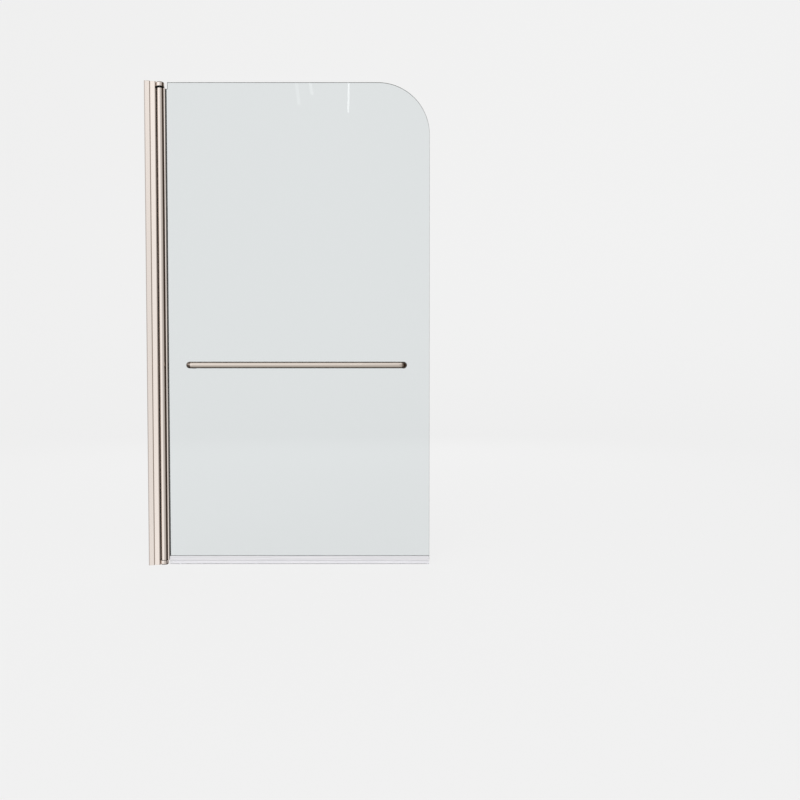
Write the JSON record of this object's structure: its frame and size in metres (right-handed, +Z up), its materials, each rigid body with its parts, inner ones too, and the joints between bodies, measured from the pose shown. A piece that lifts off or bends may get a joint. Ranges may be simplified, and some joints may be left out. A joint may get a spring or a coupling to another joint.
{
  "type": "bath screen",
  "caption": "Hinged glass bath screen with a wall channel, a sliding carrier, a pivot tube, a towel rail and a bottom drip seal.",
  "frame": {"origin": "on the wall, in the middle of the glass's thickness, level with the rim of the bath that the screen stands on", "axes": "+X from the wall along the closed glass, +Y to the bath side, -Y to the room side with the towel rail, +Z up"},
  "size_m": [0.82, 0.0896, 1.4],
  "materials": {
    "nickel_extrusion": "satin warm nickel on extruded aluminium",
    "nickel_casting": "polished warm nickel on a casting",
    "nickel_tube": "polished warm nickel on steel tube",
    "steel": "plain stainless",
    "dark_rubber": "matt, nearly black",
    "grey_gasket": "matt dark grey",
    "black_nylon": "smooth black nylon",
    "clear_nylon": "milky clear nylon",
    "toughened_glass": "clear, faint blue-green, polished edges",
    "clear_seal": "translucent white soft extrusion"
  },
  "bodies": {
    "wall": {"wall_channel": "nickel_extrusion", "channel_cap": "nickel_casting", "adjuster_screws": "steel"},
    "carrier": {"carrier_profile": "nickel_extrusion", "hinge_cap_bottom": "nickel_casting", "hinge_cap_top": "nickel_casting", "pivot_pin_bottom": "steel", "pivot_pin_top": "steel", "pivot_washer_top": "black_nylon", "hinge_cap_screws": "steel", "tube_seal": "dark_rubber"},
    "screen": {"pivot_bush_bottom": "black_nylon", "pivot_bush_top": "black_nylon", "pivot_profile": "nickel_extrusion", "gasket_room_side": "grey_gasket", "gasket_bath_side": "grey_gasket", "glass_packers": "clear_nylon", "glass_panel": "toughened_glass", "bottom_seal": "clear_seal", "towel_rail": "nickel_tube", "rail_washers": "clear_nylon", "rail_sleeves": "clear_nylon", "rail_studs": "steel", "rail_knobs": "nickel_tube"}
  },
  "joints": [
    {"name": "width_adjust", "type": "slide", "parent": "wall", "child": "carrier", "axis": [1, 0, 0], "range_m": [-0.001, 0.005]},
    {"name": "swing", "type": "hinge", "parent": "carrier", "child": "screen", "pos_m": [0.0415, 0, 0], "axis": [0, 0, 1], "range_deg": [-65, 90]}
  ]
}
